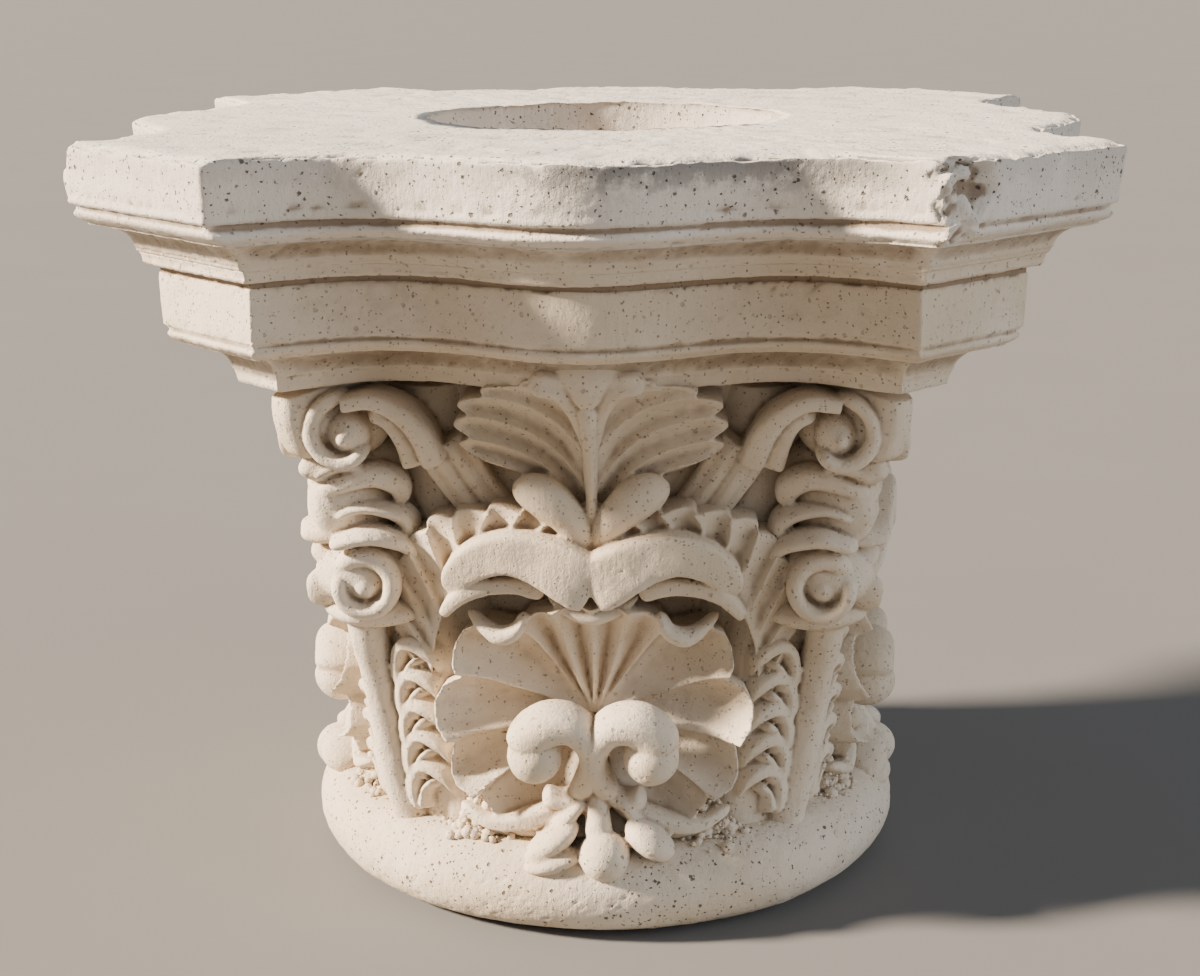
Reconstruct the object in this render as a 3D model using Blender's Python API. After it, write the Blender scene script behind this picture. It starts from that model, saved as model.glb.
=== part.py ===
# Corinthian capital, carved from one block of limestone.
# A ring at the foot carries a round bell. Each of its four sides has a shell leaf with two curled
# scrolls and a flower, two arching leaf stems, and a palmette that laps over the top slab. Each
# corner has a stalk with leaflets, a curled leaf and two volutes. A moulded top slab (the abacus)
# with bowed sides and cut corners covers them, and has a round hole in its top.
# Metres, +Z up, origin at the centre of the underside. The front looks along -Y.

import math

import bpy
import numpy as np

# Height of each band, from the underside up
RING_HEIGHT = 0.0572
CARVED_HEIGHT = 0.2927
LOW_FILLET_HEIGHT = 0.0081
LOW_COVE_HEIGHT = 0.0165
LOW_BEAD_HEIGHT = 0.0089
LOW_SLAB_HEIGHT = 0.0343
STEP_HEIGHT = 0.0034
HIGH_FILLET_HEIGHT = 0.0078
HIGH_COVE_HEIGHT = 0.0154
HIGH_BEAD_HEIGHT = 0.0109
FASCIA_HEIGHT = 0.0384

# Where each band starts and ends above the underside
BELL_TOP = RING_HEIGHT + CARVED_HEIGHT
LOW_FILLET_TOP = BELL_TOP + LOW_FILLET_HEIGHT
LOW_COVE_TOP = LOW_FILLET_TOP + LOW_COVE_HEIGHT
LOW_SLAB_BOTTOM = LOW_COVE_TOP + LOW_BEAD_HEIGHT
LOW_SLAB_TOP = LOW_SLAB_BOTTOM + LOW_SLAB_HEIGHT
HIGH_FILLET_BOTTOM = LOW_SLAB_TOP + STEP_HEIGHT
HIGH_FILLET_TOP = HIGH_FILLET_BOTTOM + HIGH_FILLET_HEIGHT
HIGH_COVE_TOP = HIGH_FILLET_TOP + HIGH_COVE_HEIGHT
FASCIA_BOTTOM = HIGH_COVE_TOP + HIGH_BEAD_HEIGHT
TOTAL_HEIGHT = FASCIA_BOTTOM + FASCIA_HEIGHT

# Foot ring and bell
RING_OUTER_RADIUS = 0.2000
BELL_FOOT_RADIUS = 0.1380
BELL_WAIST_RADIUS = 0.1400
BELL_LIP_RADIUS = 0.1690

# How far the bell runs up into the top slab and down into the ring, as shares of the ring's height,
# and the ring's narrow top inside the bell
BELL_LAP_ABOVE = 0.0060
BELL_START_SHARE = 0.80
RING_NECK_SHARE = 0.90
RING_NECK_LIFT = 1.15

# Top slab in plan: half the length of a side between its cut corners, and how far each level's
# corners stand out from the centre
FASCIA_HALF_SIDE = 0.1940
FASCIA_REACH = 0.3010
HIGH_FILLET_REACH = 0.2610
LOW_SLAB_HALF_SIDE = 0.1826
LOW_SLAB_REACH = 0.2510
LOW_FILLET_HALF_SIDE = 0.1780
LOW_FILLET_REACH = 0.2090
COVE_DEPTH = 0.0115
SIDE_DIP = 0.0340
SIDE_BULGE = 0.0070
BULGE_SHARE = 0.62
SIDE_POINTS = 18

# Round hole in the top
HOLE_RADIUS = 0.1137
HOLE_DEPTH = 0.0600
HOLE_SIDES = 40

# Carving: the design is drawn with the corner volutes reaching 184 out and the carved height
# running from 57 to 350, and is scaled from those to the sizes below
CORNER_REACH = 0.1840
DRAWN_REACH = 184.0
DRAWN_FOOT = 57.2
DRAWN_TOP = 349.9

# Fineness of the faceted solid
RING_SIDES = 56
CARVING_GRAIN = 0.0026
CARVING_TRIANGLES = 5800

STONE_COLOUR = (0.62, 0.55, 0.45, 1.0)
STONE_ROUGHNESS = 0.85


def clear_scene():
    for old in list(bpy.data.objects):
        bpy.data.objects.remove(old, do_unlink=True)


def stone_material():
    stone = bpy.data.materials.new("stone")
    stone.use_nodes = True
    shader = stone.node_tree.nodes["Principled BSDF"]
    shader.inputs["Base Color"].default_value = STONE_COLOUR
    shader.inputs["Roughness"].default_value = STONE_ROUGHNESS
    shader.inputs["Metallic"].default_value = 0.0
    return stone


def new_object(name, points, faces):
    mesh = bpy.data.meshes.new(name)
    mesh.from_pydata([tuple(p) for p in points], [], [tuple(f) for f in faces])
    mesh.validate()
    thing = bpy.data.objects.new(name, mesh)
    bpy.context.collection.objects.link(thing)
    return thing


def hide_as_guide(thing):
    thing.hide_render = True
    thing.display_type = "WIRE"


def stacked_loops(loops):
    """Closed skin over equal loops stacked from bottom to top, each end filled flat."""
    count = len(loops[0])
    points = [p for loop in loops for p in loop]
    faces = []
    for level in range(len(loops) - 1):
        low = level * count
        for i in range(count):
            j = (i + 1) % count
            faces.append((low + i, low + j, low + count + j, low + count + i))
    faces.append(tuple(range(count))[::-1])
    top = (len(loops) - 1) * count
    faces.append(tuple(range(top, top + count)))
    return points, faces


def side_depth(x, half_side, reach):
    """How far out a bowed side stands at x: a bulge in the middle, a dip each side, then the corner."""
    dip = reach - SIDE_DIP
    turn = BULGE_SHARE * half_side
    x = abs(x)
    if x <= turn:
        return dip + (reach + SIDE_BULGE - dip) * (1 + math.cos(math.pi * x / turn)) / 2
    return dip + (reach - dip) * (1 - math.cos(math.pi / 2 * (x - turn) / (half_side - turn)))


def slab_loop(z, half_side, reach):
    """One level of the top slab: the same bowed side turned four times, with cut corners."""
    loop = []
    for turn in range(4):
        c, s = math.cos(turn * math.pi / 2), math.sin(turn * math.pi / 2)
        for i in range(SIDE_POINTS + 1):
            x = half_side * (2 * i / SIDE_POINTS - 1)
            y = -side_depth(x, half_side, reach)
            loop.append((c * x - s * y, s * x + c * y, z))
    return loop


def build_abacus():
    """The moulded top slab, level by level: fillet, cove, slab, fillet, cove and fascia."""
    low_cove = LOW_FILLET_REACH + COVE_DEPTH
    high_cove = HIGH_FILLET_REACH + COVE_DEPTH
    high_half = (FASCIA_HALF_SIDE + LOW_SLAB_HALF_SIDE) / 2
    low_mid = (LOW_FILLET_TOP + LOW_COVE_TOP) / 2
    high_mid = (HIGH_FILLET_TOP + HIGH_COVE_TOP) / 2
    low_edge = (LOW_COVE_TOP + LOW_SLAB_BOTTOM) / 2
    levels = [
        (BELL_TOP, LOW_FILLET_HALF_SIDE, LOW_FILLET_REACH),
        (LOW_FILLET_TOP, LOW_FILLET_HALF_SIDE, LOW_FILLET_REACH),
        (low_mid, LOW_FILLET_HALF_SIDE, low_cove),
        (LOW_COVE_TOP, LOW_SLAB_HALF_SIDE, LOW_SLAB_REACH - COVE_DEPTH),
        (low_edge, LOW_SLAB_HALF_SIDE, LOW_SLAB_REACH - COVE_DEPTH / 4),
        (LOW_SLAB_BOTTOM, LOW_SLAB_HALF_SIDE, LOW_SLAB_REACH),
        (LOW_SLAB_TOP, LOW_SLAB_HALF_SIDE, LOW_SLAB_REACH),
        (HIGH_FILLET_BOTTOM, LOW_SLAB_HALF_SIDE, HIGH_FILLET_REACH),
        (HIGH_FILLET_TOP, LOW_SLAB_HALF_SIDE, HIGH_FILLET_REACH),
        (high_mid, high_half, high_cove),
        (HIGH_COVE_TOP, high_half, FASCIA_REACH - COVE_DEPTH),
        (FASCIA_BOTTOM, FASCIA_HALF_SIDE, FASCIA_REACH),
        (TOTAL_HEIGHT, FASCIA_HALF_SIDE, FASCIA_REACH),
    ]
    points, faces = stacked_loops([slab_loop(*level) for level in levels])
    return new_object("capital", points, faces)


def turned(name, profile, sides):
    """A solid of revolution from (radius, height) pairs, bottom to top, its ends filled flat."""
    loops = []
    for radius, z in profile:
        angles = [2 * math.pi * i / sides for i in range(sides)]
        loops.append([(radius * math.cos(a), radius * math.sin(a), z) for a in angles])
    points, faces = stacked_loops(loops)
    return new_object(name, points, faces)


def build_foot_ring():
    """Half-round ring with a flat underside, running up inside the bell."""
    half = RING_HEIGHT / 2
    middle = RING_OUTER_RADIUS - half
    profile = []
    for i in range(9):
        angle = math.pi * (i / 8 - 0.5)
        profile.append((middle + half * math.cos(angle), half + half * math.sin(angle)))
    profile.append((BELL_FOOT_RADIUS * RING_NECK_SHARE, RING_HEIGHT * RING_NECK_LIFT))
    return turned("foot_ring", profile, RING_SIDES)


def bell_radius(z):
    """The bell is narrowest low down and flares out under the top slab."""
    share = (z - RING_HEIGHT) / (BELL_TOP - RING_HEIGHT)
    waist = BELL_FOOT_RADIUS + (BELL_WAIST_RADIUS - BELL_FOOT_RADIUS) * share
    return waist + (BELL_LIP_RADIUS - BELL_WAIST_RADIUS) * max(share, 0) ** 3


def place(drawn):
    """Turn drawn (across, out, up) points into metres on the front side."""
    wide = CORNER_REACH / DRAWN_REACH
    tall = (BELL_TOP - RING_HEIGHT) / (DRAWN_TOP - DRAWN_FOOT)
    drawn = np.asarray(drawn, float)
    x = drawn[:, 0] * wide
    y = -drawn[:, 1] * wide
    z = RING_HEIGHT + (drawn[:, 2] - DRAWN_FOOT) * tall
    return np.stack([x, y, z], axis=1)


def smooth_rows(rows, count):
    """Carry a smooth curve through a few rows of numbers (Catmull-Rom), giving count rows."""
    rows = np.asarray(rows, float)
    ends = np.vstack([2 * rows[0] - rows[1], rows, 2 * rows[-1] - rows[-2]])
    place_along = np.linspace(0, len(rows) - 1, count)
    index = np.minimum(place_along.astype(int), len(rows) - 2)
    t = (place_along - index)[:, None]
    a, b, c, d = ends[index], ends[index + 1], ends[index + 2], ends[index + 3]
    return 0.5 * (2 * b + (c - a) * t + (2 * a - 5 * b + 4 * c - d) * t ** 2
                  + (3 * b - a - 3 * c + d) * t ** 3)


def limb(rows, steps=10, sides=10, flat=1.0, groove=0.0, round_ends=(0.12, 0.12), lean=(0, 1, 0)):
    """A tapering limb. Each row is (across, up, out, half width, half depth) on its middle line.

    flat below 1 squares the section off, groove sinks a channel along the front between two rims,
    round_ends is the share of the length over which each end is domed, and lean is the way that the
    depth points.
    """
    path = smooth_rows(rows, steps)
    middle = path[:, [0, 2, 1]]
    along = np.gradient(middle, axis=0)
    along /= np.linalg.norm(along, axis=1)[:, None]
    across = np.cross(along, np.asarray(lean, float))
    across /= np.linalg.norm(across, axis=1)[:, None]
    outward = np.cross(across, along)
    share = np.linspace(0, 1, steps)
    dome = np.ones(steps)
    for reach, near in zip(round_ends, (share, 1 - share)):
        if reach > 0:
            dome *= np.sqrt(1 - (1 - np.clip(0.08 + near / reach, 0, 1)) ** 2)
    wide, deep = path[:, 3] * dome, path[:, 4] * dome
    points = []
    for k in range(sides):
        angle = 2 * math.pi * k / sides
        c = math.copysign(abs(math.cos(angle)) ** flat, math.cos(angle))
        s = math.copysign(abs(math.sin(angle)) ** flat, math.sin(angle))
        sink = groove * max(s, 0) * math.cos(c * math.pi / 2) ** 2
        points.append(middle + across * (wide * c)[:, None] + outward * (deep * s - sink * dome)[:, None])
    loops = np.stack(points, axis=1)
    return stacked_loops([list(loop) for loop in loops])


def lump(middle, radii, turn=0.0, rings=7, sides=10):
    """An egg shape at (across, up, out) with radii in the same order, turned in the front plane."""
    loops = []
    for i in range(1, rings):
        polar = math.pi * i / rings
        loop = []
        for k in range(sides):
            angle = -2 * math.pi * k / sides
            a = radii[0] * math.sin(polar) * math.cos(angle)
            b = radii[1] * math.sin(polar) * math.sin(angle)
            x = middle[0] + a * math.cos(turn) - b * math.sin(turn)
            z = middle[1] + a * math.sin(turn) + b * math.cos(turn)
            loop.append((x, middle[2] - radii[2] * math.cos(polar), z))
        loops.append(loop)
    return stacked_loops(loops)


def mirrored(shape):
    points, faces = shape
    points = np.asarray(points, float) * (-1, 1, 1)
    return points, [tuple(reversed(face)) for face in faces]


def both_faces(shape):
    """The shape on the front of the left corner, and its reflection in the corner's diagonal."""
    points, faces = shape
    points = np.asarray(points, float)
    other = np.stack([-points[:, 1], -points[:, 0], points[:, 2]], axis=1)
    return [shape, (other, [tuple(reversed(face)) for face in faces])]


def on_corner(shape):
    """Turn a shape by an eighth, so that its outward side faces the front left corner."""
    points, faces = shape
    points = np.asarray(points, float)
    half = math.sqrt(0.5)
    across, out = points[:, 0], points[:, 1]
    return np.stack([(across - out) * half, (across + out) * half, points[:, 2]], axis=1), faces


def spiral_rows(middle, start, turns, radii, depth, half_width, half_depth, count):
    """Rows for a limb that winds inwards round middle, from radii[0] to radii[1]."""
    rows = []
    for i in range(count):
        share = i / (count - 1)
        angle = math.radians(start) + share * turns * 2 * math.pi
        radius = radii[0] + (radii[1] - radii[0]) * share
        rows.append((middle[0] + radius * math.cos(angle), middle[1] + radius * math.sin(angle),
                     depth[0] + (depth[1] - depth[0]) * share,
                     half_width[0] + (half_width[1] - half_width[0]) * share, half_depth))
    return rows


def arm_shapes():
    """One arching leaf stem: rib with a blunt end, its inner step, outer edge and leaflets."""
    shapes = [
        limb([(-101, 148, 148, 6, 9), (-100, 176, 156, 8, 12), (-94, 203, 165, 9, 15),
              (-82, 229, 172, 10, 17), (-63, 244, 174, 10, 18), (-42, 248, 175, 11, 18),
              (-26, 243, 176, 13, 18), (-15, 235, 176, 17, 18), (-7, 231, 176, 18, 17),
              (-1, 230, 174, 16, 16)], steps=20, flat=0.6, round_ends=(0.1, 0.02)),
        limb([(-105, 158, 145, 4, 12), (-99, 176, 156, 5, 14), (-93, 198, 163, 6, 17),
              (-81, 217, 166, 6, 18), (-68, 228, 167, 6, 18), (-49, 233, 167, 6, 18),
              (-31, 230, 166, 5, 18)], steps=12, flat=0.6, round_ends=(0.1, 0.08)),
        limb([(-103, 148, 140, 5, 10), (-109, 176, 146, 7, 12), (-115, 205, 151, 8, 13),
              (-113, 240, 157, 7, 13)], steps=8),
        limb([(-104, 226, 150, 10, 14), (-92, 250, 156, 12, 14), (-70, 261, 160, 11, 14),
              (-42, 264, 160, 11, 14), (-12, 258, 160, 10, 14)], steps=9),
    ]
    # Leaflets fan out from the rib: where each leaves it, and where its tip stands
    feet = [(-108, 210), (-100, 228), (-88, 241), (-72, 249), (-53, 254), (-34, 254), (-17, 250)]
    tips = [(-108, 257), (-95, 266), (-82, 274), (-66, 279), (-48, 279), (-30, 275), (-11, 266)]
    for (x0, z0), (x1, z1) in zip(feet, tips):
        shapes.append(limb([(x0, z0, 168, 6, 10), ((x0 + x1) / 2 - 2, (z0 + z1) / 2 + 1, 174, 8, 11),
                            (x1, z1, 177, 6, 9)], steps=8, groove=4, round_ends=(0, 0.3)))
    return shapes


def tongue_shapes():
    """The crescent that hangs under the meeting ends of the two arms."""
    return [limb([(-27, 217, 160, 2, 10), (-14, 209, 166, 5, 13), (0, 206, 168, 6, 14),
                  (14, 209, 166, 5, 13), (27, 217, 160, 2, 10)], steps=9)]


# Lobes of the shell leaf, low to high: middle height, half height, reach
SHELL_LOBES = ((102, 22, 90), (142, 22, 99), (187, 24, 87))
SHELL_WAIST = 79.0


def shell_outline(z):
    """Half width of the shell leaf at a height: three lobes, one over the other."""
    width = SHELL_WAIST
    for middle, half_height, reach in SHELL_LOBES:
        off = abs(z - middle) / half_height
        if off < 1:
            width = max(width, SHELL_WAIST + (reach - SHELL_WAIST) * math.sqrt(1 - off ** 2))
    return width


def shell_depth(x, z):
    """The shell leaf is cupped. Its rim and top stand forward, its flutes fan out from the foot, and
    each side lobe slopes forward and down, so that the one above it overhangs."""
    half = shell_outline(z)
    u = x / half
    up = (z - 60) / 150
    middle = 149 + 26 * max(up, 0) ** 3
    rim = 166 - 8 * abs(2 * up - 1) ** 2
    cup = middle + (rim - middle) * abs(u) ** 2.5
    flute = 3.5 * math.cos(math.atan2(x, z - 78) / 0.297 * 2 * math.pi) * (1 - u * u)
    slope = 0.0
    for centre, half_height, reach in SHELL_LOBES:
        if abs(z - centre) <= half_height:
            slope = 9 * (centre - z) / half_height
    return cup + flute * min(1, max(0, z - 90) / 25) + slope * max(0, abs(u) - 0.35) / 0.65


def shell_shapes():
    """The shell leaf as a thick cupped sheet, its back buried in the bell, and its curled rim."""
    rows, columns = 40, 36
    loops = []
    for i in range(rows + 1):
        z = 54 + (210 - 54) * i / rows
        xs = [shell_outline(z) * (2 * j / columns - 1) for j in range(columns + 1)]
        front = [(x, shell_depth(x, z), z) for x in xs]
        back = [(x * 0.8, 100, z) for x in reversed(xs)]
        loops.append(front + back)
    curls = [
        limb([(-82, 168, 158, 3, 8), (-87, 180, 163, 4, 9), (-85, 193, 166, 4, 9), (-76, 201, 169, 4, 9),
              (-66, 199, 171, 5, 9), (-57, 195, 174, 7, 9), (-48, 198, 175, 5, 9), (-42, 210, 172, 3, 8)],
             steps=18),
        limb([(-80, 163, 158, 3, 8), (-92, 158, 165, 4, 8), (-99, 147, 167, 4, 9), (-97, 134, 166, 4, 9),
              (-88, 122, 162, 3, 8)], steps=12),
        limb([(-87, 118, 158, 3, 8), (-86, 110, 161, 4, 8), (-90, 100, 164, 4, 9), (-84, 91, 166, 4, 9),
              (-72, 86, 167, 4, 9), (-56, 75, 166, 4, 8)], steps=12),
    ]
    foot = limb([(-106, 62, 128, 8, 14), (-70, 62, 147, 8, 14), (0, 62, 153, 8, 14), (70, 62, 147, 8, 14),
                 (106, 62, 128, 8, 14)], steps=14)
    return [stacked_loops(loops), foot] + curls + [mirrored(curl) for curl in curls]


def snail_shapes():
    """One curled scroll in front of the shell leaf: a band that winds over onto a ball."""
    return [
        limb([(-16, 86, 162, 6, 12), (-7, 99, 167, 8, 15), (-5, 115, 171, 10, 17),
              (-10, 128, 174, 11, 18), (-21, 134, 175, 12, 19), (-34, 130, 177, 13, 19),
              (-42, 118, 178, 14, 17)], steps=16, round_ends=(0.15, 0.1)),
        lump((-40, 111, 177), (17.5, 18.5, 19), rings=9, sides=14),
        limb([(-2, 92, 160, 5, 12), (-18, 82, 164, 6, 12), (-34, 73, 165, 6, 10)], steps=5),
    ]


def flower_shapes():
    """The flower that hangs over the foot ring: stalk, bud and petals."""
    return [
        limb([(2, 106, 160, 4, 8), (2, 84, 169, 7, 10), (4, 62, 182, 9, 11)], steps=6),
        lump((7, 55, 186), (16, 16, 17)),
        lump((-26, 61, 179), (20, 8, 15), turn=0.6),
        lump((-25, 50, 183), (19, 7, 14), turn=0.25),
        lump((35, 63, 179), (18, 10, 16), turn=-0.6),
        lump((-16, 76, 168), (17, 6, 15), turn=0.75),
        lump((24, 78, 166), (17, 6, 14), turn=-0.9),
    ]


def palmette_shapes():
    """Half of the palmette: lobes that fan out and forward, and the broad leaf under it."""
    lobes = [
        [(-2, 262, 158, 4, 10), (-13, 290, 165, 9, 11), (-40, 309, 169, 11, 11), (-70, 313, 166, 8, 10)],
        [(-2, 274, 162, 4, 10), (-9, 305, 171, 9, 12), (-35, 325, 176, 11, 12), (-71, 332, 176, 9, 11)],
        [(-1, 288, 166, 5, 10), (-6, 321, 180, 9, 13), (-22, 340, 188, 10, 13), (-57, 346, 190, 9, 12)],
        [(0, 300, 170, 6, 12), (-3, 334, 190, 9, 14), (-15, 351, 203, 9, 14), (-36, 355, 208, 8, 12)],
    ]
    shapes = [limb(rows, steps=9, groove=3, flat=0.8, round_ends=(0, 0.15)) for rows in lobes]
    shapes.append(lump((-30, 318, 160), (38, 32, 16)))
    shapes.append(limb([(-3, 258, 162, 7, 10), (-13, 274, 168, 12, 11), (-28, 286, 167, 15, 12),
                        (-46, 293, 161, 10, 10)], steps=9, round_ends=(0, 0.25)))
    return shapes


def palmette_middle():
    """The palmette's upright middle, with the tip that laps over the slab's lowest edge."""
    return [
        limb([(0, 256, 160, 5, 10), (0, 300, 174, 6, 12), (0, 332, 194, 8, 14), (0, 352, 209, 10, 13)],
             steps=8, round_ends=(0, 0.1)),
        lump((0, 356, 210), (16, 12, 13)),
    ]


def volute_shapes():
    """One volute and the fluted stem that carries it, on the front face of the left corner."""
    return [
        limb([(-54, 252, 136, 16, 14), (-72, 277, 146, 16, 14), (-86, 301, 153, 17, 14),
              (-91, 309, 154, 15, 13)], steps=8, flat=0.6, groove=3, round_ends=(0, 0)),
        limb([(-99, 303, 157, 14, 17), (-107, 321, 164, 12, 18), (-118, 334, 170, 9, 19),
              (-131, 341, 173, 6, 18), (-147, 342, 172, 5, 16)], steps=14, flat=0.5, groove=3,
             round_ends=(0.02, 0)),
        limb(spiral_rows((-147, 320), 85, 0.85, (20, 14), (170, 172), (4, 4), 15, 12), steps=24, flat=0.7),
        lump((-147, 320, 153), (20, 21, 24), rings=8, sides=16),
        lump((-143, 319, 165), (13, 14, 21), rings=7, sides=12),
    ]


def curled_leaf_shapes():
    """The curled leaf under a volute on the corner's front face: a scroll with folds over it."""
    return [
        limb(spiral_rows((-139, 222), 150, -1.0, (18.5, 15), (159, 163), (6, 5), 15, 14), steps=24,
             flat=0.8),
        lump((-139, 222, 145), (20, 20, 20), rings=8, sides=14),
        lump((-139, 221, 158), (9, 9, 16), rings=6, sides=10),
        limb([(-110, 246, 148, 5, 13), (-122, 253, 156, 7, 15), (-139, 256, 161, 8, 16),
              (-160, 249, 160, 7, 15)], steps=10),
        limb([(-116, 264, 144, 8, 13), (-129, 271, 151, 9, 15), (-145, 270, 157, 9, 16),
              (-161, 262, 159, 8, 14)], steps=9),
        limb([(-122, 284, 138, 10, 13), (-137, 288, 147, 11, 15), (-153, 281, 156, 9, 15)], steps=8),
    ]


def corner_shapes():
    """What stands on the corner's diagonal, drawn as (across, up, out from the axis)."""
    shapes = [
        limb([(0, 349, 224, 13, 37), (0, 330, 220, 14, 39), (0, 308, 212, 14, 34)], steps=6, flat=0.6,
             round_ends=(0, 0.3)),
        lump((0, 298, 216), (22, 9, 26)),
        lump((0, 270, 188), (28, 40, 40)),
        lump((0, 226, 194), (30, 24, 38)),
        lump((0, 201, 192), (34, 11, 33)),
        limb([(0, 205, 203, 14, 12), (0, 182, 200, 11, 12), (0, 160, 194, 10, 12), (0, 138, 189, 10, 12),
              (0, 97, 181, 12, 13), (0, 50, 167, 14, 14)], steps=9, round_ends=(0, 0)),
        limb([(0, 345, 130, 46, 52), (0, 280, 126, 44, 50), (0, 200, 120, 44, 50), (0, 60, 118, 44, 50)],
             steps=7, flat=0.5, round_ends=(0, 0)),
        limb([(0, 200, 150, 40, 36), (0, 160, 148, 44, 34), (0, 110, 142, 45, 34), (0, 54, 132, 46, 36)],
             steps=7, flat=0.6, round_ends=(0, 0)),
    ]
    return [on_corner(shape) for shape in shapes]


def leaflet_shapes():
    """The hooked leaflets up both sides of a corner stalk, drawn across the corner."""
    shapes = []
    for step in range(5):
        z = 82 + 21 * step
        out = 176 + 2.5 * step
        hook = limb([(15, z - 20, out - 2, 3, 10), (15, z - 2, out, 4, 11), (19, z + 10, out, 4, 11),
                     (28, z + 14, out - 2, 5, 11), (37, z + 8, out - 6, 5, 11), (38, z - 3, out - 10, 4, 10)],
                    steps=12)
        inner = limb([(20, z - 18, out - 4, 3, 8), (23, z - 4, out - 4, 3, 9), (30, z + 4, out - 5, 3, 9)],
                     steps=6)
        shapes += [on_corner(hook), on_corner(mirrored(hook)), on_corner(inner), on_corner(mirrored(inner))]
    return shapes


def one_side():
    """Every carved shape of the front side and of its left corner."""
    halves = arm_shapes() + snail_shapes() + palmette_shapes()
    shapes = halves + [mirrored(shape) for shape in halves]
    shapes += tongue_shapes() + shell_shapes() + flower_shapes() + palmette_middle()
    for shape in volute_shapes() + curled_leaf_shapes():
        shapes += both_faces(shape)
    return shapes + corner_shapes() + leaflet_shapes()


def build_carving():
    """All carved shapes and the bell, fused to one skin and thinned to broad facets."""
    points, faces = [], []

    def add(shape_points, shape_faces):
        start = len(points)
        points.extend(shape_points)
        faces.extend([tuple(start + i for i in face) for face in shape_faces])

    for shape_points, shape_faces in one_side():
        front = place(shape_points)
        for turn in range(4):
            c, s = math.cos(turn * math.pi / 2), math.sin(turn * math.pi / 2)
            x = c * front[:, 0] - s * front[:, 1]
            y = s * front[:, 0] + c * front[:, 1]
            add(np.stack([x, y, front[:, 2]], axis=1), shape_faces)
    heights = np.linspace(RING_HEIGHT * BELL_START_SHARE, BELL_TOP + BELL_LAP_ABOVE, 9)
    loops = []
    for z in heights:
        angles = [2 * math.pi * i / RING_SIDES for i in range(RING_SIDES)]
        loops.append([(bell_radius(z) * math.cos(a), bell_radius(z) * math.sin(a), z) for a in angles])
    add(*stacked_loops(loops))
    carving = new_object("carving", points, faces)
    fuse = carving.modifiers.new("fuse", "REMESH")
    fuse.mode = "VOXEL"
    fuse.voxel_size = CARVING_GRAIN
    fuse.use_smooth_shade = True
    ease = carving.modifiers.new("ease", "SMOOTH")
    ease.factor = 0.5
    ease.iterations = 3
    thin = carving.modifiers.new("thin", "DECIMATE")
    bpy.context.view_layer.update()
    fine = carving.evaluated_get(bpy.context.evaluated_depsgraph_get()).to_mesh()
    fine.calc_loop_triangles()
    thin.ratio = min(1.0, CARVING_TRIANGLES / len(fine.loop_triangles))
    hide_as_guide(carving)
    return carving


def build_hole():
    profile = [(HOLE_RADIUS, TOTAL_HEIGHT - HOLE_DEPTH), (HOLE_RADIUS, TOTAL_HEIGHT + HOLE_DEPTH)]
    return turned("hole", profile, HOLE_SIDES)


def join_with(body, other, operation):
    step = body.modifiers.new(other.name, "BOOLEAN")
    step.operation = operation
    step.solver = "EXACT"
    step.object = other
    hide_as_guide(other)


def main():
    clear_scene()
    capital = build_abacus()
    join_with(capital, build_hole(), "DIFFERENCE")
    join_with(capital, build_carving(), "UNION")
    join_with(capital, build_foot_ring(), "UNION")
    capital.data.materials.append(stone_material())


main()
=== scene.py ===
# Corinthian capital in weathered limestone: a moulded top slab with a round hole, four carved sides
# (shell leaf, curled scrolls, arching stems, palmette), four carved corners (stalk, curled leaf,
# volutes), a foot ring and loose grit that lies on it.
import math

import bpy
import numpy as np
from mathutils import Matrix, Vector


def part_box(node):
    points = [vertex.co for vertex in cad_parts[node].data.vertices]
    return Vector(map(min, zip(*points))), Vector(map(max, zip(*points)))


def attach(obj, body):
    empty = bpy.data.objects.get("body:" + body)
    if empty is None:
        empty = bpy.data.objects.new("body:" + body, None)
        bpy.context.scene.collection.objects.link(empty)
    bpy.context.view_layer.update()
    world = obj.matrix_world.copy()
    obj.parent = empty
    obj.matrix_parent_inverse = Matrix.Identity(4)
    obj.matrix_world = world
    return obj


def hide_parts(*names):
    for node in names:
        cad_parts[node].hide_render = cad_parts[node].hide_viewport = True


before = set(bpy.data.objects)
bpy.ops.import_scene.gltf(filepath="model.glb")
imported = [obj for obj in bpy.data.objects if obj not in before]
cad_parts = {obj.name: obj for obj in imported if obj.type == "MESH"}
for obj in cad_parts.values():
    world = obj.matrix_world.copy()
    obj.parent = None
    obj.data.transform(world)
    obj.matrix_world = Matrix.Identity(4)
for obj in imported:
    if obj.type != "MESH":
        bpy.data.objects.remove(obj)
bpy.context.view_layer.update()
lowCorner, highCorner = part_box("capital")
print("frame loaded")

# The design is drawn in millimetres, for a stone 493.6 tall that reaches 308 out from its axis, as
# (across, out, up) seen from the front, and is scaled to the frame
design = {
    "height": 493.6, "reach": 308.0, "ringTop": 57.2, "bellTop": 349.9,
    "bellFoot": 138, "bellSpread": 2, "bellFlare": 29,   # radius at the foot and what it gains upwards
    "bellCore": 104, "bellFrom": 46, "bellTo": 356,      # how deep and how tall the bell's slices are
}
scaleUp = (highCorner.z - lowCorner.z) / design["height"]
scaleOut = highCorner.x / design["reach"]


def inMetres(points):
    return points * np.array([scaleOut, scaleOut, scaleUp])


def inFrame(points):
    # Drawn (across, out, up) on the front side to the frame's own axes
    return inMetres(points) * (1, -1, 1)


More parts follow.
